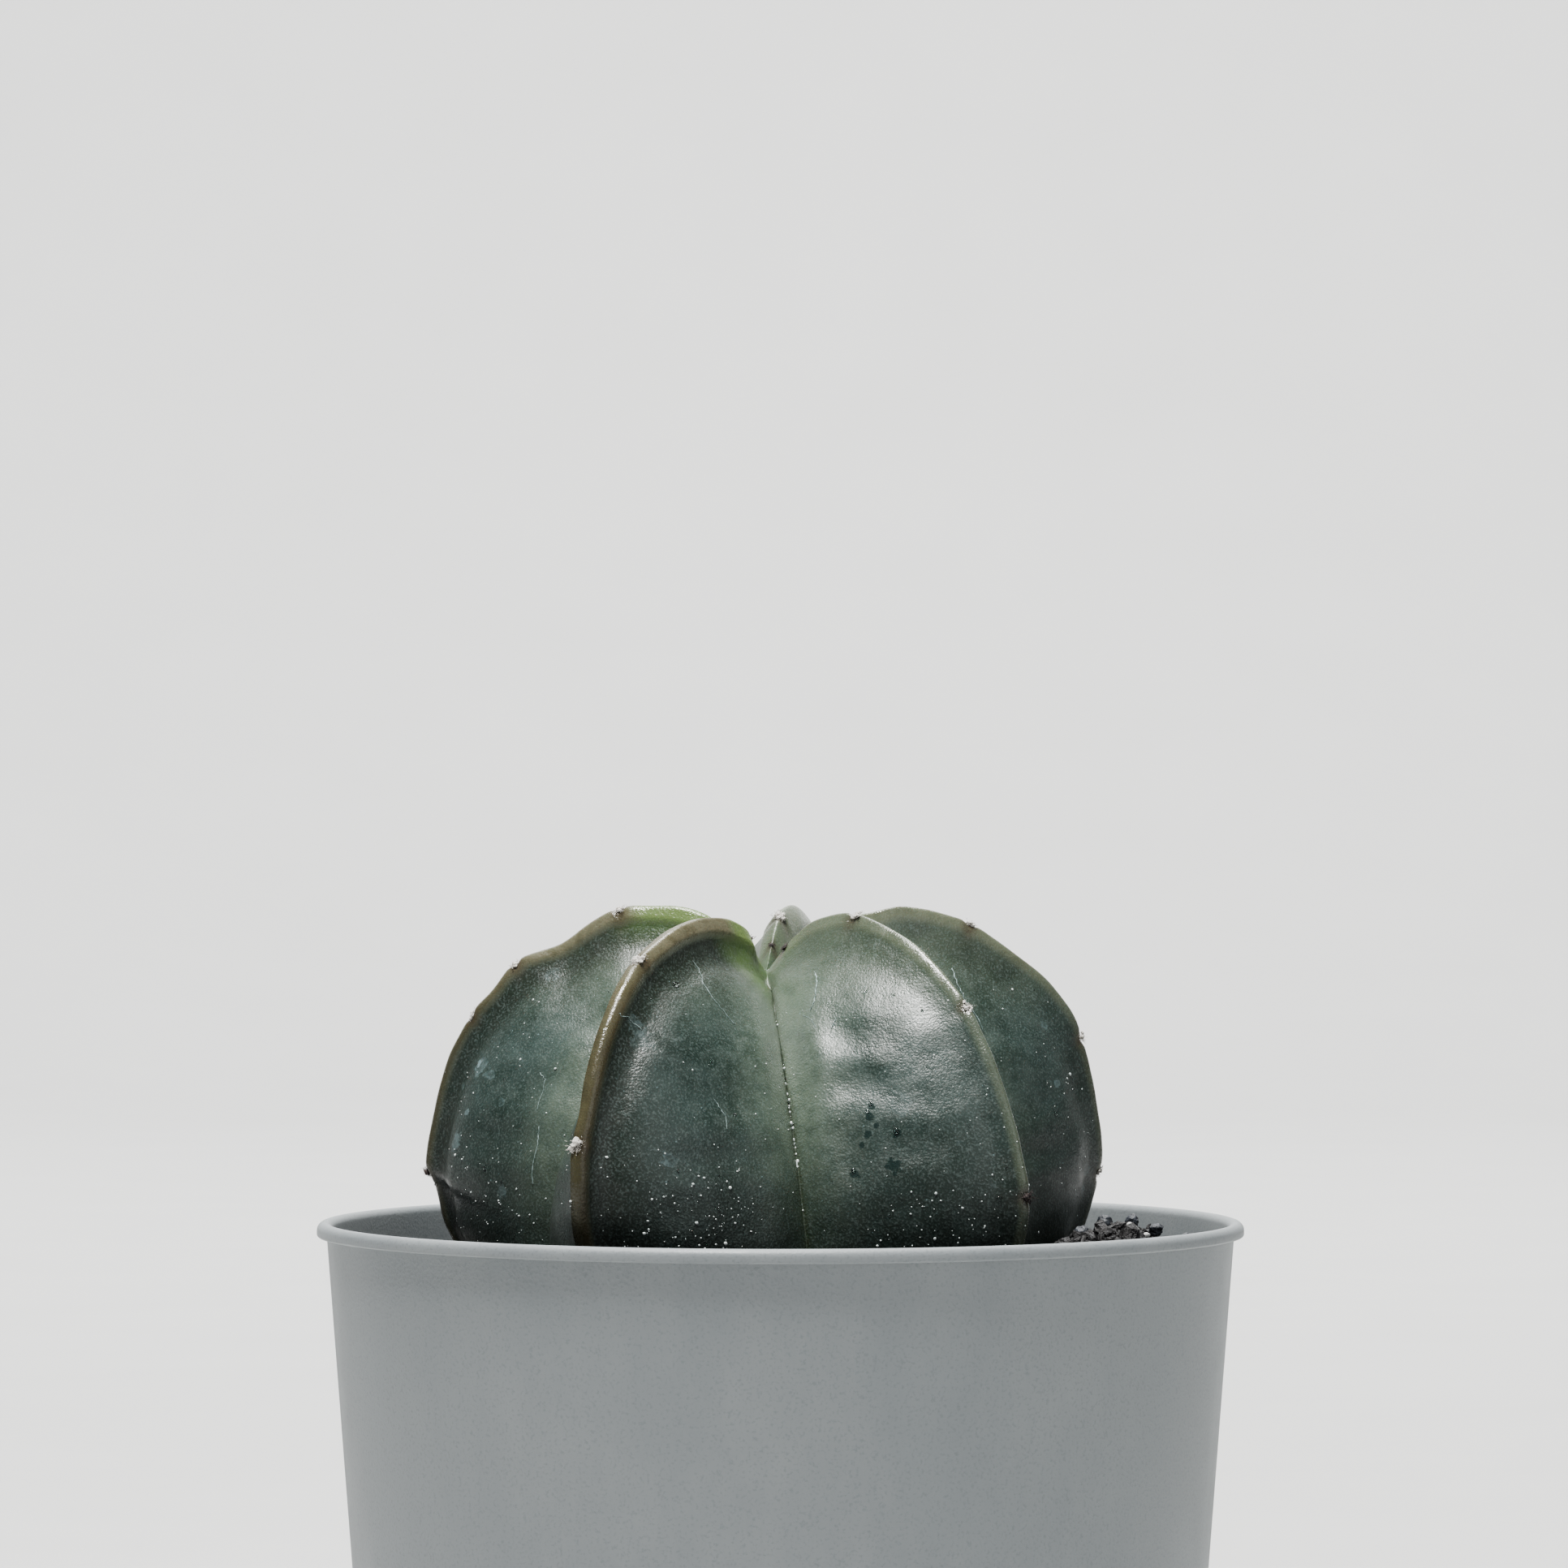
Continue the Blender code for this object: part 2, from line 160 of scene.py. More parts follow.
FIBRES = (  # knots, and the half width in mm
    (((-25.7, 29.9), (-19.9, 27.5), (-14.3, 24.9), (-9.5, 22.8)), 0.055),
    (((25.9, 28.6), (22.3, 26.9), (19.3, 25.2), (17.2, 24.2)), 0.10),
    (((14.6, 23.8), (16.9, 23.3), (17.4, 22.3)), 0.045),
    (((23.6, 23.6), (22.4, 22.8), (21.4, 22.3)), 0.08),
    (((99.8, 28.6), (96.3, 26.8), (94.1, 25.1), (91.3, 21.0)), 0.08),
    (((-29.2, 24.4), (-28.2, 23.5), (-26.4, 22.4)), 0.05),
    (((-84.4, 16.9), (-82.4, 16.1), (-79.1, 12.5)), 0.06),
    (((-77.2, 11.0), (-75.6, 8.6), (-74.1, 4.0)), 0.06),
    (((-12.0, 15.0), (-9.0, 13.0), (-8.5, 11.5)), 0.05),
)

# Potting mix, as in the CAD
SOIL_DEPTH = 7.0 * MM
SOIL_HEAP = (6.4 * MM, 74, 38, 39 * MM, 6.5 * MM)
SOIL_SWELL = 0.5 * MM

# Pot, as in the CAD
BEAD_HEIGHT = 1.6 * MM
BEAD_OVERHANG = 1.0 * MM
WALL = 0.8 * MM
TAPER = math.radians(4.4)
FLOOR_RISE = 2.0 * MM
FLOOR_THICKNESS = 1.4 * MM
FOOT_WIDTH = 3.0 * MM
DRAIN_COUNT = 6
DRAIN_RADIUS = 3.2 * MM
DRAIN_CIRCLE = 33 * MM

CLEARANCE = 0.3 * MM


# Meshes -------------------------------------------------------------------------------------------


def piece(name, mesh, look=None, sharp_degrees=None):
    """A shown object that rides on the part's only body."""
    ob = bpy.data.objects.new(name, mesh)
    bpy.context.collection.objects.link(ob)
    if look:
        mesh.materials.append(look)
    mesh.shade_smooth()
    if sharp_degrees:
        mesh.set_sharp_from_angle(angle=math.radians(sharp_degrees))
    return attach(ob, "root")


def mesh_from(name, points, faces):
    mesh = bpy.data.meshes.new(name)
    mesh.from_pydata([tuple(p) for p in points], [], faces)
    mesh.update()
    return mesh


def loop_skin(name, loops, start, end):
    """A closed mesh through equal loops, an array (ring, column, xyz), with a point at each end.
    Its points are the loops' points in order, and then the two ends."""
    rings, columns = loops.shape[:2]
    index = np.arange(rings * columns).reshape(rings, columns)
    ahead = np.roll(index, -1, axis=1)
    quads = np.stack([index[:-1], ahead[:-1], ahead[1:], index[1:]], axis=-1).reshape(-1, 4)
    first, last = rings * columns, rings * columns + 1
    faces = [tuple(q) for q in quads.tolist()]
    faces += [(first, int(b), int(a)) for a, b in zip(index[0], ahead[0])]
    faces += [(last, int(a), int(b)) for a, b in zip(index[-1], ahead[-1])]
    mesh = mesh_from(name, [*loops.reshape(-1, 3), start, end], faces)
    if signed_volume(mesh) < 0:
        mesh.flip_normals()
    return mesh


def signed_volume(mesh):
    mesh.calc_loop_triangles()
    return sum(
        mesh.vertices[a].co.dot(mesh.vertices[b].co.cross(mesh.vertices[c].co))
        for a, b, c in (t.vertices for t in mesh.loop_triangles)
    )


def paint(mesh, name, values):
    """A number for each point of the mesh, for its material."""
    made = mesh.attributes.new(name, "FLOAT", "POINT")
    made.data.foreach_set("value", np.asarray(values, np.float32))


def waves(points, length, seed, count=9):
    """Smooth noise from -1 to 1 at the points: a sum of plane waves of about this length."""
    rng = np.random.default_rng(seed)
    total = np.zeros(points.shape[:-1])
    for _ in range(count):
        direction = rng.normal(size=3)
        direction /= np.linalg.norm(direction) * rng.uniform(0.7, 1.4) * length
        total += np.sin(points @ direction * 2 * math.pi + rng.uniform(0, 2 * math.pi))
    return total / count * 1.8


def smooth_step(low, high, x):
    s = np.clip((x - low) / (high - low), 0, 1)
    return s * s * (3 - 2 * s)


def hump(x, width):
    return np.exp(-((x / width) ** 2))


# Plant --------------------------------------------------------------------------------------------


def through(points, t):
    """The smooth curve through the points at station t, which counts points from 0."""
    p = np.asarray(points, float)
    p = np.vstack([2 * p[0] - p[1], p, 2 * p[-1] - p[-2]])
    i = np.clip(np.floor(t).astype(int), 0, len(points) - 2)
    s = (t - i)[..., None]
    a, b, c, d = p[i], p[i + 1], p[i + 2], p[i + 3]
    return b + 0.5 * s * (c - a + s * (2 * a - 5 * b + 4 * c - d + s * (3 * (b - c) + d - a)))


def crest_line(t, crown, shoulder):
    """A crest's (radius, height) in mm at stations t."""
    line = through(CREST, t)
    line[..., 0] += shoulder * hump(t - SHOULDER_STATION, SPREAD)
    line[..., 1] += crown * hump(t - CROWN_STATION, SPREAD)
    line[..., 1] += 0.8 * shoulder * hump(t - SHOULDER_STATION, SPREAD)
    return line


def shares():
    """Shares of the way from crest to groove: close together at the welt and at the crease."""
    return np.concatenate(
        [np.linspace(0, 0.16, 17), np.linspace(0.16, 0.9, 19)[1:], np.linspace(0.9, 1, 8)[1:]]
    )


def columns():
    """(rib, crest azimuth, step to the groove, lean, fullness, share) of each line of points."""
    found = []
    for k, (_, here, _, _, lean, _, full) in enumerate(RIBS):
        after = (k + 1) % len(RIBS)
        half = ((RIBS[after][1] - here) % 360) / 2
        found += [(k, here, half, lean, full, u) for u in shares()]
        full = RIBS[after][5]
        found += [(after, here + 2 * half, -half, lean, full, u) for u in shares()[-2:0:-1]]
    return found


def stations(rings_above=190, rings_below=18):
    """Stations at nearly even steps along a crest down to the soil, and then down to the tip."""
    t = np.linspace(0, SOIL_STATION, 1200)
    step = np.hypot(*np.diff(crest_line(t, 0, 0), axis=0).T)
    along = np.concatenate([[0], np.cumsum(step)])
    above = np.interp(np.linspace(0, along[-1], rings_above + 1)[1:], along, t)
    below = np.linspace(SOIL_STATION, LAST, rings_below + 1)[1:-1]
    return np.concatenate([above, below])


def crest_lengths(rib, t):
    """Arc length in mm from the apex along this rib's crest at stations t."""
    fine = np.linspace(0, LAST, 2000)
    line = crest_line(fine, RIBS[rib][2], RIBS[rib][3])
    along = np.concatenate([[0], np.cumsum(np.hypot(*np.diff(line, axis=0).T))])
    return np.interp(t, fine, along)


def between_knots(knots, x):
    """The smooth curve through the knots (place, value), level at each of them."""
    places, values = np.array(knots, float).T
    i = np.clip(np.searchsorted(places, x) - 1, 0, len(places) - 2)
    part = smooth_step(places[i], places[i + 1], x)
    return values[i] + (values[i + 1] - values[i]) * part


def crest_relief(rib, along, distance):
    """How far a crest stands out in mm: its bulges, and a nick and a swelling at each areole."""
    name = RIBS[rib][0]
    relief = between_knots(BULGES[name], along) * hump(distance, 8)
    for place in AREOLES[name]:
        relief -= NOTCH * hump(along - place, 0.7) * hump(distance, 1.2)
        relief += 0.25 * hump(along - place, 2.4) * hump(distance, 2.5)
    return relief


def areole_nearness(rib, along, distance, reach):
    places = np.array(AREOLES[RIBS[rib][0]], float)
    gap = np.min([np.hypot(along - a, distance) for a in places], axis=0)
    return hump(gap, reach)


def plain_body(t, lines):
    """The plant's points at stations t before its relief, an array (station, line, xyz)."""
    made = []
    for rib, azimuth, step, lean, full, share in lines:
        crest = crest_line(t, RIBS[rib][2], RIBS[rib][3])
        groove = through(GROOVE, t)
        rounded = min(1, (math.hypot(share, 0.02) - 0.02) * 1.02)
        radius, height = (crest + (groove - crest) * rounded**full).T * MM
        leaning = lean * np.clip(t / LEAN_STATION - 1, -1, 1)
        turn = np.radians(azimuth + share * (step + leaning))
        x, y = PLANT_X + radius * np.sin(turn), -radius * np.cos(turn)
        made.append(np.stack([x, y, RIM_Z + height], axis=1))
    return np.stack(made, axis=1)


def normals_of(grid):
    """Outward normals of an array (ring, column, xyz) that closes on itself along the columns."""
    down = np.gradient(grid, axis=0)
    across = np.roll(grid, -1, axis=1) - np.roll(grid, 1, axis=1)
    normal = np.cross(down, across)
    return normal / np.linalg.norm(normal, axis=2, keepdims=True)


def make_body():
    """The plant with its welts, nicks and swellings, and the masks that its material reads."""
    t, lines = stations(), columns()
    grid = plain_body(t, lines)
    radius = np.hypot(grid[..., 0] - PLANT_X, grid[..., 1]) / MM
    height = (grid[..., 2] - RIM_Z) / MM
    share = np.array([line[-1] for line in lines])
    step = np.radians([abs(line[2]) for line in lines])
    distance = radius * step * share  # mm from the crest, measured across the flank
    from_groove = radius * step * (1 - share)
    along = np.stack([crest_lengths(line[0], t) for line in lines], axis=1)
    width, rise, brown, green, start, reach = np.array([WELTS[RIBS[line[0]][0]] for line in lines]).T

    body = smooth_step(1.5, 6, radius) * smooth_step(-12, -6, height)
    welt = 1 - smooth_step(width - 0.35, width + 0.2, distance)
    fold = np.cos(2 * math.pi * (height - RIPPLE_TOP + 1.6 * waves(grid, 17 * MM, 8)) / RIPPLE_LENGTH)
    fold *= smooth_step(1, 8, height) * (1 - smooth_step(22, 29, height))
    relief = body * (
        rise * welt
        - DIP_DEPTH * np.sqrt(brown) * hump(distance - width - DIP_DISTANCE, 1.4)
        + SWELLING * waves(grid, 19 * MM, 3) * smooth_step(2, 8, distance)
        + RIPPLE * fold * smooth_step(4, 9, distance) * smooth_step(1, 6, from_groove)
        + 0.10 * waves(grid, 6 * MM, 4)
        + 0.5 * hump(from_groove - 3.2, 2.2) * smooth_step(9, 16, radius)
    )
    outward = normals_of(grid)
    shift = outward * relief[..., None]
    nearness = np.zeros_like(relief)
    for k in range(len(RIBS)):
        mine = np.array([line[0] == k for line in lines])
        crest = next(i for i, line in enumerate(lines) if line[0] == k and line[-1] == 0)
        bulge = body[:, mine] * crest_relief(k, along[:, mine], distance[:, mine])
        shift[:, mine] += outward[:, crest][:, None] * bulge[..., None]
        nearness[:, mine] = areole_nearness(k, along[:, mine], distance[:, mine], 1.0)
    grid = grid + shift * MM

    apex = (PLANT_X, 0, RIM_Z + CREST[0][1] * MM)
    tip = (PLANT_X, 0, RIM_Z + CREST[-1][1] * MM)
    mesh = loop_skin("bishops_cap", grid, apex, tip)
    masks = {
        "welt": welt * body,
        "welt_edge": hump(distance - width + 0.35, 0.45) * body,
        "brown": brown * smooth_step(start - 1.5, start + 1.5, along),
        # painted shadow: the hollow beside each welt, to be darkened as if the welt shaded it, strongest
        # beside the brown welts
        "painted_welt_shadow": hump(distance - width - 0.8, 3.0) * (1 - welt) * (0.2 + 0.8 * brown),
        # painted shade: a dark line in each groove's crease, where shade falls
        "crease": hump(from_groove, 0.5) * body,
        "near_groove": hump(from_groove, 5.0) * smooth_step(-8, 18, height),
        "youth": green * (1 - smooth_step(start - 1, start + 5, along)) * hump(distance, reach),
        # painted shade: darker towards the soil, standing in for the shade on the lower flanks
        "low": 1 - smooth_step(-1, 21, height),
        "high": smooth_step(20, 34, height),
        "areole": nearness,
    }
    for name, values in masks.items():
        paint(mesh, name, [*values.reshape(-1), 0, 0])
    made = piece("bishops_cap", mesh)
    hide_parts("cactus_body")
    return made


def on_skin(body, azimuth, height):
    """The point of the skin at this azimuth in degrees and height in mm above the rim, and the
    outward direction there."""
    turn, z = math.radians(azimuth), RIM_Z + height * MM
    inwards = Vector((-math.sin(turn), math.cos(turn), 0))
    start = Vector((PLANT_X, 0, z)) - inwards * 60 * MM
    spot, normal, _, _ = body.ray_cast(start, inwards)
    return np.array(spot), np.array(normal)


# Materials ----------------------------------------------------------------------------------------


class Tree:
    """A material's nodes, added and linked in short calls. A value is a socket or a constant."""

    def __init__(self, name, roughness=0.5, **constants):
        self.material = bpy.data.materials.new(name)
        self.material.use_nodes = True
        self.nodes = self.material.node_tree.nodes
        self.links = self.material.node_tree.links
        self.shader = self.nodes["Principled BSDF"]
        self.shader.inputs["Roughness"].default_value = roughness
        for socket, value in constants.items():
            self.shader.inputs[socket.replace("_", " ")].default_value = value

    def give(self, socket, value):
        if isinstance(value, bpy.types.NodeSocket):
            self.links.new(value, socket)
        elif hasattr(value, "__len__") and len(value) == 3 and socket.type == "RGBA":
            socket.default_value = (*value, 1)
        else:
            socket.default_value = value

    def set(self, socket, value):
        self.give(self.shader.inputs[socket], value)

    def place(self):
        return self.nodes.new("ShaderNodeTexCoord").outputs["Object"]

    def stretched(self, scale):
        node = self.nodes.new("ShaderNodeMapping")
        self.give(node.inputs["Vector"], self.place())
        node.inputs["Scale"].default_value = scale
        return node.outputs["Vector"]

    def mask(self, name):
        node = self.nodes.new("ShaderNodeAttribute")
        node.attribute_name = name
        return node.outputs["Fac"]

    def noise(self, millimetres, detail=3, roughness=0.5, vector=None, distortion=0):
        """Noise whose features are about this size."""
        node = self.nodes.new("ShaderNodeTexNoise")
        self.give(node.inputs["Vector"], vector or self.place())
        self.give(node.inputs["Scale"], 1 / (millimetres * MM))
        self.give(node.inputs["Detail"], detail)
        self.give(node.inputs["Roughness"], roughness)
        self.give(node.inputs["Distortion"], distortion)
        return node.outputs["Fac"]

    def cells(self, millimetres, feature="F1", randomness=1):
        """Distance to scattered points this far apart, 0 at each."""
        node = self.nodes.new("ShaderNodeTexVoronoi")
        node.feature = feature
        self.give(node.inputs["Vector"], self.place())
        self.give(node.inputs["Scale"], 1 / (millimetres * MM))
        self.give(node.inputs["Randomness"], randomness)
        return node.outputs["Distance"]

    def math(self, operation, a, b=0.5):
        node = self.nodes.new("ShaderNodeMath")
        node.operation = operation
        self.give(node.inputs[0], a)
        self.give(node.inputs[1], b)
        return node.outputs[0]

    def span(self, value, low, high, out_low=0.0, out_high=1.0):
        """value from low..high brought smoothly to out_low..out_high."""
        node = self.nodes.new("ShaderNodeMapRange")
        node.interpolation_type = "SMOOTHSTEP"
        for socket, number in zip(
            ("Value", "From Min", "From Max", "To Min", "To Max"),
            (value, low, high, out_low, out_high),
        ):
            self.give(node.inputs[socket], number)
        return node.outputs["Result"]

    def mix(self, factor, a, b, blend="MIX"):
        node = self.nodes.new("ShaderNodeMix")
        node.data_type = "RGBA"
        node.blend_type = blend
        self.give(node.inputs["Factor"], factor)
        sockets = [s for s in node.inputs if s.type == "RGBA"]
        self.give(sockets[0], a)
        self.give(sockets[1], b)
        return next(s for s in node.outputs if s.type == "RGBA")

    def spot(self, centre, radius, ragged, core=1.0):
        """1 within radius metres of a point, ragged by a noise, and core at its very middle."""
        node = self.nodes.new("ShaderNodeVectorMath")
        node.operation = "DISTANCE"
        self.give(node.inputs[0], self.place())
        node.inputs[1].default_value = centre
        off = self.math("MULTIPLY", ragged, radius * 2.4)
        distance = self.math("ADD", node.outputs["Value"], off)
        inside = self.span(distance, radius * 2.25, radius * 1.9)
        return self.math("MULTIPLY", inside, self.span(distance, radius * 1.3, radius * 1.9, core, 1))

    def most(self, values):
        total = values[0]
        for value in values[1:]:
            total = self.math("MAXIMUM", total, value)
        return total

    def bump(self, *layers):
        """Layers of (height socket, depth in mm), one on another, into the shader's normal."""
        normal = None
        for height, depth in layers:
            node = self.nodes.new("ShaderNodeBump")
            self.give(node.inputs["Height"], height)
            node.inputs["Distance"].default_value = depth * MM
            if normal:
                self.links.new(normal, node.inputs["Normal"])
            normal = node.outputs["Normal"]
        self.links.new(normal, self.shader.inputs["Normal"])


def skin_material(body):
    """Waxy dark grey-green skin with a bluish bloom, paler in the grooves, olive on the welts."""
    m = Tree("cactus_skin", Specular_IOR_Level=0.75, Subsurface_Weight=0.03, Subsurface_Scale=0.0015)
    clouds = m.noise(8, detail=4, roughness=0.6)
    mottle = m.noise(1.7, detail=4, roughness=0.6)
    grain = m.noise(0.25, detail=2)
    times = lambda a, b: m.math("MULTIPLY", a, b)

    colour = m.mix(m.span(clouds, 0.36, 0.64), (0.011, 0.026, 0.019), (0.040, 0.064, 0.057))
    colour = m.mix(m.span(mottle, 0.38, 0.68, 0, 0.35), colour, (0.058, 0.082, 0.072))
    colour = m.mix(times(m.mask("high"), m.span(clouds, 0.2, 0.7, 0.25, 0.75)), colour,
                   (0.125, 0.155, 0.100))
    # Painted shade: the lower flanks darkened nearly to black, as if the light fell off towards the soil
    colour = m.mix(times(m.mask("low"), m.span(mottle, 0.25, 0.65, 0.6, 1)), colour,
                   (0.006, 0.015, 0.009))
    colour = m.mix(times(m.mask("near_groove"), m.span(mottle, 0.2, 0.6, 0.4, 0.75)), colour,
                   (0.140, 0.180, 0.130))
    # Painted shadow: a near-black band beside each welt, standing in for the shade that the raised welt
    # casts
    colour = m.mix(times(m.mask("painted_welt_shadow"), m.span(mottle, 0.2, 0.7, 0.75, 1)), colour,
                   (0.005, 0.010, 0.004))
    colour = m.mix(times(m.mask("youth"), m.span(mottle, 0.2, 0.6, 0.6, 0.95)), colour,
                   (0.070, 0.130, 0.026))
    # Painted shade along the creases, over the paler grooves
    colour = m.mix(times(m.mask("crease"), 0.8), colour, (0.030, 0.042, 0.018))
    colour = m.mix(m.span(grain, 0.45, 0.72, 0, 0.35), colour, (0.15, 0.19, 0.18))

    dots = times(m.span(m.cells(1.7), 0.07, 0.03), m.span(clouds, 0.42, 0.55, 0.1, 0.5))
    rings = m.cells(8)
    rings = times(m.span(rings, 0.16, 0.12), m.span(rings, 0.05, 0.12, 0.4, 1))
    rings = times(rings, m.span(m.noise(12), 0.52, 0.62, 0, 0.25))
    rings = times(rings, m.span(mottle, 0.35, 0.6))
    ragged = m.noise(0.8, detail=3, roughness=0.6)
    marks = [
        times(m.spot(on_skin(body, azimuth, height)[0], radius * MM, ragged, core), 0.7 * strength)
        for azimuth, height, radius, core, strength in LIME_MARKS
    ]
    blotchy = times(m.most([rings, *marks]), m.span(mottle, 0.36, 0.58, 0.25, 1))
    colour = m.mix(m.most([dots, blotchy]), colour, (0.24, 0.34, 0.36))
    wet = m.most([
        m.spot(on_skin(body, azimuth, height)[0], radius * MM, ragged)
        for azimuth, height, radius in WET_MARKS
    ])
    colour = m.mix(times(wet, 0.75), colour, (0.010, 0.024, 0.022))

    olive = m.mix(m.span(mottle, 0.35, 0.75), (0.092, 0.084, 0.046), (0.052, 0.048, 0.024))
    # Painted shade on the welts as well, darker towards the soil
    olive = m.mix(times(m.mask("low"), 0.75), olive, (0.040, 0.038, 0.017))
    edge = times(m.mask("welt_edge"), m.span(mottle, 0.2, 0.6, 0.6, 0.95))
    olive = m.mix(edge, olive, (0.042, 0.034, 0.014))
    olive = m.mix(times(m.mask("high"), m.span(mottle, 0.3, 0.6, 0.2, 0.6)), olive,
                  (0.200, 0.190, 0.125))
    colour = m.mix(times(m.mask("welt"), 0.4), colour, (0.155, 0.180, 0.125))
    colour = m.mix(times(m.mask("welt"), m.mask("youth")), colour, (0.150, 0.215, 0.070))
    colour = m.mix(times(m.mask("welt"), m.mask("brown")), colour, olive)
    colour = m.mix(times(m.mask("areole"), m.span(grain, 0.3, 0.6, 0.5, 0.85)), colour,
                   (0.045, 0.030, 0.018))
    m.set("Base Color", colour)
    rough = m.span(mottle, 0.3, 0.7, 0.32, 0.44)
    rough = m.math("SUBTRACT", rough, times(m.mask("welt"), 0.12))
    m.set("Roughness", m.math("SUBTRACT", rough, times(wet, 0.2)))
    m.bump((mottle, 0.08), (grain, 0.05))
    return m.material


def pot_material():
    """Grey moulded plastic, satin, with faint water marks and dust."""
    m = Tree("pot_plastic", roughness=0.5)
    speckle = m.noise(0.35, detail=2)
    stain = m.noise(14, detail=5, roughness=0.65, vector=m.stretched((1, 1, 0.45)))
    colour = m.mix(m.span(stain, 0.3, 0.75), (0.215, 0.235, 0.245), (0.250, 0.268, 0.275))
    colour = m.mix(m.span(speckle, 0.5, 0.75, 0, 0.45), colour, (0.150, 0.166, 0.174))
    m.set("Base Color", colour)
    m.set("Roughness", m.span(stain, 0.3, 0.75, 0.42, 0.6))
    m.bump((speckle, 0.03), (stain, 0.05))
    return m.material


def soil_material(name, smooth, rough):
    """Damp, nearly black peat and bark with paler crumbs."""
    m = Tree(name, roughness=rough)
    crumbs = m.noise(1.2, detail=5, roughness=0.7)
    patches = m.noise(7, detail=3)
    colour = m.mix(m.span(crumbs, 0.35, 0.65), (0.005, 0.005, 0.006), (0.021, 0.019, 0.019))
    colour = m.mix(m.span(patches, 0.45, 0.7, 0, 0.5), colour, (0.011, 0.011, 0.012))
    m.set("Base Color", colour)
    m.set("Roughness", m.span(crumbs, 0.3, 0.7, smooth, rough))
    m.bump((crumbs, 0.6), (m.noise(0.4, detail=3), 0.2))
    return m.material


def stone_material(name, dark, light, size, smooth, rough):
    m = Tree(name, roughness=rough)
    grain = m.noise(size, detail=4, roughness=0.65)
    m.set("Base Color", m.mix(m.span(grain, 0.3, 0.7), dark, light))
    m.set("Roughness", m.span(grain, 0.3, 0.7, smooth, rough))
    m.bump((grain, 0.25))
    return m.material


def wool_material(name, dark, light):
    m = Tree(name, roughness=0.9, Sheen_Weight=0.3)
    strands = m.noise(0.25, detail=3)
    m.set("Base Color", m.mix(m.span(strands, 0.3, 0.7), dark, light))
    m.bump((strands, 0.05))
    return m.material


def water_material():
    """Clear beads of water, a little cloudy with lime."""
    m = Tree("water", roughness=0.03, IOR=1.33, Transmission_Weight=1.0)
    m.set("Base Color", m.mix(m.span(m.noise(0.4), 0.45, 0.7, 0, 0.6), (0.93, 0.98, 0.97),
                              (0.70, 0.78, 0.76)))
    return m.material


def dust_material(name, dark, light):
    """Dry lime dust and thin pale fibres."""
    m = Tree(name, roughness=0.55)
    m.set("Base Color", m.mix(m.span(m.noise(0.5, detail=3), 0.35, 0.65), dark, light))
    return m.material


def stage_material():
    m = Tree("pale_floor", roughness=0.8)
    m.set("Base Color", m.mix(m.noise(60), (0.62, 0.62, 0.61), (0.66, 0.66, 0.65)))
    return m.material


# Pot ----------------------------------------------------------------------------------------------


def wall_radius(z):
    """The wall's outer radius at height z."""
    return RIM_RADIUS - BEAD_OVERHANG - (RIM_Z - z) * math.tan(TAPER)


def arc(centre, radius, first, last, count):
    """Points (radius, height) of a round stretch of a profile, angles in degrees."""
    turns = np.radians(np.linspace(first, last, count))
    return [(centre[0] + radius * math.cos(a), centre[1] + radius * math.sin(a)) for a in turns]


def pot_profile():
    """Radius and height from the underside's centre, out over the foot and rim, to the floor's."""
    foot = wall_radius(0)
    inner = wall_radius(RIM_Z) - WALL
    bend = (RIM_RADIUS - inner) / 2
    floor = FLOOR_RISE + FLOOR_THICKNESS
    under = RIM_Z - BEAD_HEIGHT
    lip = 0.25 * MM
    return [
        (8 * MM, FLOOR_RISE),
        *arc((foot - FOOT_WIDTH - 1.4 * MM, FLOOR_RISE - 0.7 * MM), 0.7 * MM, 90, 0, 4),
        *arc((foot - FOOT_WIDTH + 0.3 * MM, 0.3 * MM), 0.3 * MM, 180, 270, 4),
        *arc((foot - 0.6 * MM, 0.6 * MM), 0.6 * MM, 270, 360, 5),
        *[(wall_radius(z), z) for z in np.linspace(1.2 * MM, under - 0.5 * MM, 14)],
        (wall_radius(under), under),
        *arc((RIM_RADIUS - lip, under + lip), lip, 270, 360, 5),
        *arc((RIM_RADIUS - bend, RIM_Z - bend), bend, 0, 180, 15),
        *[(wall_radius(z) - WALL, z) for z in np.linspace(under, floor + 2.4 * MM, 12)],
        *arc((wall_radius(floor) - WALL - 2 * MM, floor + 2 * MM), 2 * MM, 0, -90, 6),
        (8 * MM, floor),
    ]


def drain_cutter():
    bm = bmesh.new()
    for k in range(DRAIN_COUNT):
        turn = 2 * math.pi * (k + 0.5) / DRAIN_COUNT
        made = bmesh.ops.create_cone(
            bm, cap_ends=True, segments=48, radius1=DRAIN_RADIUS, radius2=DRAIN_RADIUS, depth=8 * MM
        )
        middle = (DRAIN_CIRCLE * math.sin(turn), -DRAIN_CIRCLE * math.cos(turn), FLOOR_RISE)
        bmesh.ops.translate(bm, verts=made["verts"], vec=middle)
    mesh = bpy.data.meshes.new("drain_cutter")
    bm.to_mesh(mesh)
    bm.free()
    cutter = bpy.data.objects.new("drain_cutter", mesh)
    bpy.context.collection.objects.link(cutter)
    return cutter


def apply_modifiers(ob):
    """Keeps the mesh that the object's modifiers make, without its slivers, and drops them."""
    depsgraph = bpy.context.evaluated_depsgraph_get()
    mesh = bpy.data.meshes.new_from_object(ob.evaluated_get(depsgraph))
    ob.modifiers.clear()
    bm = bmesh.new()
    bm.from_mesh(mesh)
    bmesh.ops.remove_doubles(bm, verts=bm.verts, dist=0.002 * MM)
    bm.to_mesh(mesh)
    bm.free()
    ob.data = mesh


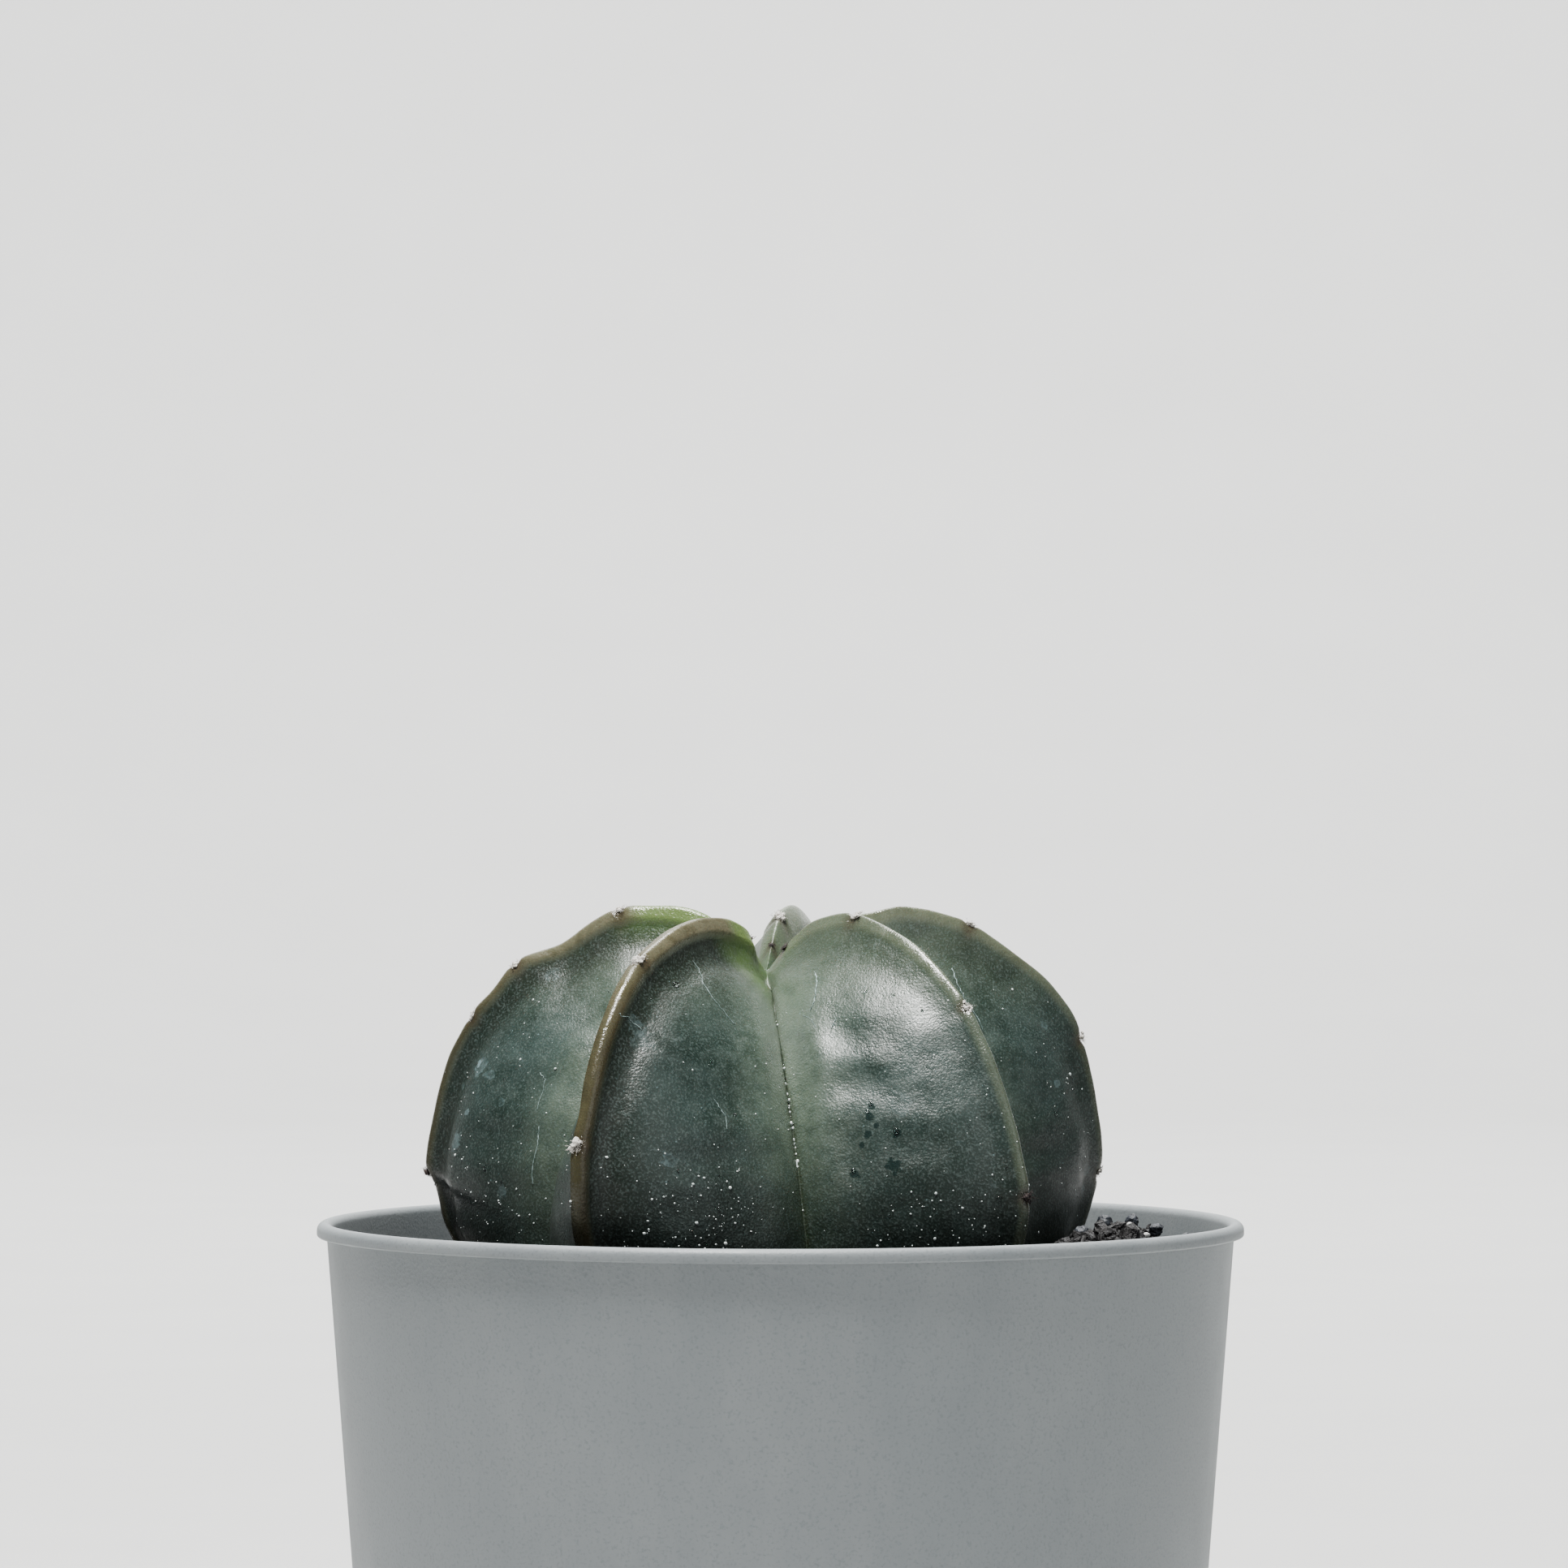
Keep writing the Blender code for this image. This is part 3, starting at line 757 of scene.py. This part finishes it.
def make_pot(look):
    turns = np.linspace(0, 2 * math.pi, 289)[:-1]
    ring = np.stack([np.sin(turns), -np.cos(turns)], axis=1)
    loops = np.array([[(*(ring[i] * r), z) for i in range(len(turns))] for r, z in pot_profile()])
    ends = (0, 0, FLOOR_RISE), (0, 0, FLOOR_RISE + FLOOR_THICKNESS)
    pot = piece("nursery_pot", loop_skin("nursery_pot", loops, *ends), look, sharp_degrees=35)
    cut = pot.modifiers.new("drain_holes", "BOOLEAN")
    cutter = drain_cutter()
    cut.object = cutter
    cut.solver = "EXACT"
    apply_modifiers(pot)
    bpy.data.objects.remove(cutter)
    pot.data.set_sharp_from_angle(angle=math.radians(35))
    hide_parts("pot")


# Potting mix --------------------------------------------------------------------------------------


def soil_height(x, y):
    mound, azimuth, arc, distance, spread = SOIL_HEAP
    beside = (np.degrees(np.arctan2(x, -y)) - azimuth) / arc
    outside = (np.hypot(x, y) - distance) / spread
    heap = mound * np.exp(-(beside**2) - outside**2)
    swell = np.sin(x / (7 * MM) + 1) * np.cos(y / (9 * MM)) + 0.5 * np.sin((x + y) / (5 * MM))
    return RIM_Z - SOIL_DEPTH + heap + SOIL_SWELL * swell


def make_soil(look):
    """The mix that fills the pot, with a crumbly surface and a well that the plant stands in."""
    floor = FLOOR_RISE + FLOOR_THICKNESS + CLEARANCE
    lines = columns()[::3]
    turns = np.radians([azimuth + share * step for _, azimuth, step, _, _, share in lines])
    ring = np.stack([np.sin(turns), -np.cos(turns)], axis=1)

    def by_wall(z, inset=0.0):
        radius = wall_radius(z) - WALL - CLEARANCE - inset
        return np.column_stack([ring * radius, np.full(len(ring), z)])

    fine = np.linspace(8.5, LAST, 300)
    sides = plain_body(fine, lines)
    above = sides[..., 2] > soil_height(sides[..., 0], sides[..., 1])
    entry = fine[above.sum(axis=0).clip(max=len(fine) - 1)]

    def well(share):
        """The plant's side from where it enters the soil (0) to near its tip (1), moved outwards."""
        t = entry + (LAST - 1.0 - entry) * share
        column = [plain_body(np.array([t[i]]), [line])[0, 0] for i, line in enumerate(lines)]
        out = np.array(column)
        away = out[:, :2] - [PLANT_X, 0]
        away /= np.linalg.norm(away, axis=1, keepdims=True)
        out[:, :2] += away * CLEARANCE
        return out

    rim = by_wall(RIM_Z - SOIL_DEPTH)
    mouth = well(0)
    loops = [by_wall(floor, 2.2 * MM) * [0.5, 0.5, 1], by_wall(floor, 2.2 * MM)]
    loops += [by_wall(floor + 2.2 * MM), *[by_wall(z) for z in np.linspace(20, 78, 5) * MM]]
    for share in np.linspace(0, 1, 46):
        loop = rim + (mouth - rim) * share
        loop[:, 2] = soil_height(loop[:, 0], loop[:, 1])
        rough = 0.45 * waves(loop, 2.2 * MM, 21, 14) + 0.3 * waves(loop, 0.9 * MM, 22, 14)
        loop[:, 2] += rough * MM * (0.3 if share in (0, 1) else 1)
        loops.append(loop)
    loops += [well(share) for share in np.linspace(0, 1, 11)[1:]]
    tip = (PLANT_X, 0, RIM_Z + CREST[-1][1] * MM - 2 * CLEARANCE)
    soil = piece("potting_mix", loop_skin("potting_mix", np.array(loops), (0, 0, floor), tip), look)
    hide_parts("soil")


def lump(rng, size, rounds, roughness):
    """Points and faces of one irregular grain about this size across, around the origin."""
    bm = bmesh.new()
    bmesh.ops.create_icosphere(bm, subdivisions=rounds, radius=size / 2)
    points = np.array([v.co for v in bm.verts])
    faces = [[v.index for v in f.verts] for f in bm.faces]
    bm.free()
    seed = int(rng.integers(1 << 30))
    knobs = waves(points, size * 0.7, seed, 6) + 0.5 * waves(points, size * 0.3, seed + 1, 6)
    points *= (1 + roughness * knobs)[:, None]
    return points * rng.uniform(0.65, 1.15, 3), faces


def turned(points, rng):
    """The points turned any way about the origin, and not mirrored."""
    q, r = np.linalg.qr(rng.normal(size=(3, 3)))
    q *= np.sign(np.diag(r))
    q[:, 0] *= np.sign(np.linalg.det(q))
    return points @ q


def gathered(name, parts, look, sharp_degrees=None):
    """One piece from many small (points, faces) parts."""
    points, faces, start = [], [], 0
    for part_points, part_faces in parts:
        points.append(part_points)
        faces += [[i + start for i in face] for face in part_faces]
        start += len(part_points)
    return piece(name, mesh_from(name, np.concatenate(points), faces), look, sharp_degrees)


def soil_spots(rng, count, body, spare):
    """Random (x, y, turn) on the soil between the plant and the pot, spare metres clear of both."""
    outer = wall_radius(RIM_Z - SOIL_DEPTH) - WALL
    spots = []
    while len(spots) < count:
        x, y = rng.uniform(-outer, outer, 2)
        if math.hypot(x, y) > outer - spare:
            continue
        z = float(soil_height(x, y))
        near, normal, _, gap = body.find_nearest(Vector((x, y, z)))
        if gap < spare or (Vector((x, y, z)) - near).dot(normal) < 0:
            continue
        spots.append((x, y, z))
    return spots


def make_crumbs(rng, body, look):
    """Crumbs and short bark shreds lying all over the mix."""
    inner = wall_radius(RIM_Z - SOIL_DEPTH) - WALL - CLEARANCE
    parts = []
    for x, y, z in soil_spots(rng, 4200, body, 0.4 * MM):
        size = rng.choice([0.8, 1.3, 1.9, 2.6], p=[0.62, 0.25, 0.10, 0.03]) * rng.uniform(0.8, 1.2) * MM
        points, faces = lump(rng, size, 2 if size > MM else 1, 0.3)
        if rng.random() < 0.15:
            points *= (1.9, 0.55, 0.5)
        points = turned(points, rng)
        points = points + [x, y, z - points[:, 2].min() * rng.uniform(0.1, 0.6)]
        if np.hypot(points[:, 0], points[:, 1]).max() < inner:
            parts.append((points, faces))
    crumbs = gathered("soil_crumbs", parts, look, sharp_degrees=35)


def make_grains(rng, body, look):
    """Small white perlite grains scattered in the mix."""
    parts = []
    for x, y, z in soil_spots(rng, 420, body, 0.4 * MM):
        points, faces = lump(rng, rng.uniform(0.25, 0.85) * MM, 2, 0.15)
        parts.append((points + [x, y, z - points[:, 2].min() * 0.5 + 0.4 * MM], faces))
    grains = gathered("perlite_grains", parts, look)


def make_bit(rng, node, look, rounds, roughness):
    """A detailed bit of perlite or gravel where the CAD's plain one lies, sunk a little in."""
    low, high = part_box(node)
    middle, size = (low + high) / 2, high - low
    points, faces = lump(rng, max(size) * 0.95, rounds, roughness)
    points = turned(points, rng)
    points *= min(size) / np.ptp(points[:, 2]) * 1.05
    points += np.array([middle.x, middle.y, low.z - points[:, 2].min() - CLEARANCE])
    kind, number = node.rsplit("_", 1)
    made = piece(f"{kind}_bit_{number}", mesh_from(node, points, faces), look, sharp_degrees=40)
    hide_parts(node)


# Areoles, droplets and dust -----------------------------------------------------------------------


def tube(path, radii, sides=3):
    """Points and faces of a thin closed tube along a path, ending in points."""
    path = np.asarray(path)
    along = np.gradient(path, axis=0)
    along /= np.linalg.norm(along, axis=1, keepdims=True)
    helper = np.array([0.3, 0.5, 0.81])
    side = np.cross(along, helper)
    side /= np.linalg.norm(side, axis=1, keepdims=True)
    other = np.cross(along, side)
    points, faces = [path[0]], []
    for k in range(1, len(path) - 1):
        for j in range(sides):
            a = 2 * math.pi * j / sides
            points.append(path[k] + radii[k] * (math.cos(a) * side[k] + math.sin(a) * other[k]))
    points.append(path[-1])
    last = len(points) - 1
    for j in range(sides):
        n = (j + 1) % sides
        faces.append([0, 1 + n, 1 + j])
        for k in range(len(path) - 3):
            a, b = 1 + k * sides, 1 + (k + 1) * sides
            faces.append([a + j, a + n, b + n, b + j])
        end = 1 + (len(path) - 3) * sides
        faces.append([end + j, end + n, last])
    return np.array(points), faces


def lying(points, spot, side, across, normal):
    """Points given along (side, across, normal) brought to a spot on the skin."""
    return points @ np.array([side, across, normal]) + spot


def tuft(rng, spot, normal, size, hairs, reach):
    """A crusty crumb of matted wool with short hairs, its radius and the hairs' reach in metres."""
    side = np.cross(normal, [0.2, 0.1, 0.97])
    side /= np.linalg.norm(side)
    frame_here = side, np.cross(normal, side), normal
    parts = []
    for _ in range(9):
        points, faces = lump(rng, size * rng.uniform(0.45, 0.9), 3, 0.28)
        away = rng.normal(size=2) * size * 0.42
        points = points * (1, 1, 0.75) + [*away, size * rng.uniform(0.05, 0.35)]
        parts.append((lying(points, spot, *frame_here), faces))
    for _ in range(hairs):
        root = rng.normal(size=2) * size * 0.45
        way = np.array([*(root / size + rng.normal(size=2) * 0.6), rng.uniform(0.25, 0.8)])
        way /= np.linalg.norm(way)
        curl = rng.normal(size=3) * 0.5
        s = np.linspace(0, 1, 6)[:, None]
        path = [*root, size * 0.15] + reach * rng.uniform(0.4, 1.1) * (way * s + curl * s**2 * 0.5)
        thin = rng.uniform(0.020, 0.034) * MM
        parts.append(tube(lying(path, spot, *frame_here), np.full(6, thin)))
    return parts


def make_areoles(rng, body, wool, dark_wool):
    """A tuft for each of the CAD's wool pads, standing on the skin beneath it."""
    for name, places in AREOLES.items():
        for number in range(1, len(places) + 1):
            node = f"areole_{name}_{number}"
            low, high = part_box(node)
            near, normal, _, _ = body.find_nearest((low + high) / 2)
            dark = node in DARK_AREOLES
            size = max(high - low) * SMALL_AREOLES.get(node, 0.42)
            reach = size * (0.9 if dark else 0.45)
            parts = tuft(rng, np.array(near), np.array(normal), size, 110, reach)
            made = gathered(f"wool_{name}_{number}", parts, dark_wool if dark else wool)
            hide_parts(node)


def bead(rng, spot, normal, radius, rounds, flatness):
    """Points and faces of a low round bead that sits in the skin."""
    points, faces = lump(rng, 2 * radius, rounds, 0.04)
    side = np.cross(normal, [0.2, 0.1, 0.97])
    side /= np.linalg.norm(side)
    points = points * (1, 1, flatness) + [0, 0, radius * flatness * 0.35]
    return lying(points, spot, side, np.cross(normal, side), normal), faces


def make_beads(rng, body, water, dust):
    """Drops of water and specks of lime, most of them low on the flanks, and along one groove."""
    drops = [
        bead(rng, *on_skin(body, azimuth, height), radius * MM, 3, 0.6)
        for azimuth, height, radius in WATER_DROPS
    ]
    specks = []
    for azimuth, height, spread, rise, count in SPECK_PATCHES:
        for _ in range(count):
            spot = on_skin(body, rng.normal(azimuth, spread), np.clip(rng.normal(height, rise), -3, 26))
            radius = rng.choice([0.06, 0.09, 0.13, 0.19], p=[0.45, 0.33, 0.17, 0.05]) * MM
            target = drops if rng.random() < 0.3 else specks
            target.append(bead(rng, *spot, radius, 2, 0.7))
    for _ in range(260):
        spot = on_skin(body, rng.uniform(-180, 180), rng.uniform(0, 26))
        radius = rng.uniform(0.05, 0.12) * MM
        specks.append(bead(rng, *spot, radius, 1, 0.7))
    groove = [line for line in columns() if line[0] == 1 and line[-1] == 1]
    for t in np.sort(rng.uniform(2.9, 7.2, 60)):
        near, normal, _, _ = body.find_nearest(Vector(plain_body(np.array([t]), groove)[0, 0]))
        spot = np.array(near) + rng.normal(size=3) * 0.08 * MM
        radius = rng.uniform(0.12, 0.26) * MM
        target = drops if rng.random() < 0.25 else specks
        target.append(bead(rng, spot, np.array(normal), radius, 2, 0.8))
    gathered("water_beads", drops, water)
    gathered("lime_specks", specks, dust)


def make_fibres(rng, body, look):
    """Thin pale fibres and scratches that lie on the skin."""
    parts = []
    for knots, width in FIBRES:
        azimuths, heights = np.array(knots, float).T
        places = np.linspace(0, len(knots) - 1, 6 * len(knots))
        path = []
        for place in places:
            azimuth = np.interp(place, range(len(knots)), azimuths) + rng.normal() * 0.06
            height = np.interp(place, range(len(knots)), heights) + rng.normal() * 0.03
            spot, normal = on_skin(body, azimuth, height)
            path.append(spot + normal * 0.02 * MM)
        radii = width * MM * rng.uniform(0.4, 1.2, len(path))
        parts.append(tube(path, radii, sides=4))
    gathered("fibres", parts, look)


# Stage --------------------------------------------------------------------------------------------


def make_stage(look):
    """A pale floor that curves up into a backdrop."""
    profile = [(-3.0, 0.0), (2.2, 0.0)]
    profile += [(2.2 + 0.8 * math.sin(a), 0.8 - 0.8 * math.cos(a)) for a in np.radians(range(6, 91, 6))]
    profile.append((3.0, 4.0))
    points = [(x, y, z) for y, z in profile for x in (-5, 5)]
    faces = [(2 * k, 2 * k + 1, 2 * k + 3, 2 * k + 2) for k in range(len(profile) - 1)]
    floor = bpy.data.objects.new("floor", mesh_from("floor", points, faces))
    bpy.context.collection.objects.link(floor)
    floor.data.materials.append(look)
    floor.data.shade_smooth()


def make_light(name, place, target, size, power, colour=(1, 1, 1)):
    light = bpy.data.lights.new(name, "AREA")
    light.shape = "DISK"
    light.size = size
    light.energy = power
    light.color = colour
    ob = bpy.data.objects.new(name, light)
    bpy.context.collection.objects.link(ob)
    ob.location = place
    ob.rotation_euler = (Vector(target) - Vector(place)).to_track_quat("-Z", "Y").to_euler()


def make_lights():
    target = (PLANT_X, 0, RIM_Z + 20 * MM)
    make_light("key", (-0.12, -0.20, 0.95), target, 0.34, 16, (1.0, 0.99, 0.97))
    make_light("fill", (0.9, -1.3, 0.7), target, 1.2, 3, (0.95, 0.98, 1.0))
    make_light("backdrop_light", (0, 1.2, 2.2), (0, 2.8, 0.3), 1.5, 110)
    world = bpy.data.worlds.new("studio")
    world.use_nodes = True
    world.node_tree.nodes["Background"].inputs["Color"].default_value = (0.9, 0.93, 0.96, 1)
    world.node_tree.nodes["Background"].inputs["Strength"].default_value = 0.22
    bpy.context.scene.world = world
    bpy.context.scene.view_settings.look = "AgX - Medium High Contrast"


def make_camera():
    """A long lens, level, a little above the rim."""
    camera = bpy.data.cameras.new("camera")
    camera.lens = 170
    camera.sensor_width = 36
    ob = bpy.data.objects.new("camera", camera)
    bpy.context.collection.objects.link(ob)
    ob.location = (0.4 * MM, -0.840, RIM_Z + 49.5 * MM)
    ob.rotation_euler = (math.pi / 2, 0, 0)
    bpy.context.scene.camera = ob


def main():
    rng = np.random.default_rng(7)
    make_stage(stage_material())
    make_lights()
    make_camera()
    make_pot(pot_material())
    plant = make_body()
    body = BVHTree.FromObject(plant, bpy.context.evaluated_depsgraph_get())
    plant.data.materials.append(skin_material(body))
    make_soil(soil_material("potting_mix", 0.7, 0.95))
    make_crumbs(rng, body, soil_material("soil_crumbs", 0.3, 0.65))
    perlite = stone_material("perlite", (0.50, 0.50, 0.48), (0.74, 0.74, 0.72), 0.4, 0.8, 0.95)
    gravel = stone_material("gravel", (0.007, 0.009, 0.012), (0.046, 0.052, 0.064), 0.6, 0.25, 0.5)
    make_grains(rng, body, perlite)
    for node in sorted(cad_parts):
        if node.startswith("perlite"):
            make_bit(rng, node, perlite, 4, 0.10)
        if node.startswith("gravel"):
            make_bit(rng, node, gravel, 4, 0.16)
    wool = wool_material("areole_wool", (0.36, 0.34, 0.31), (0.72, 0.70, 0.66))
    dark_wool = wool_material("young_wool", (0.018, 0.011, 0.012), (0.10, 0.072, 0.066))
    make_areoles(rng, body, wool, dark_wool)
    make_beads(rng, body, water_material(), dust_material("lime", (0.50, 0.56, 0.55), (0.80, 0.84, 0.82)))
    make_fibres(rng, body, dust_material("fibre", (0.13, 0.18, 0.17), (0.32, 0.40, 0.40)))


main()
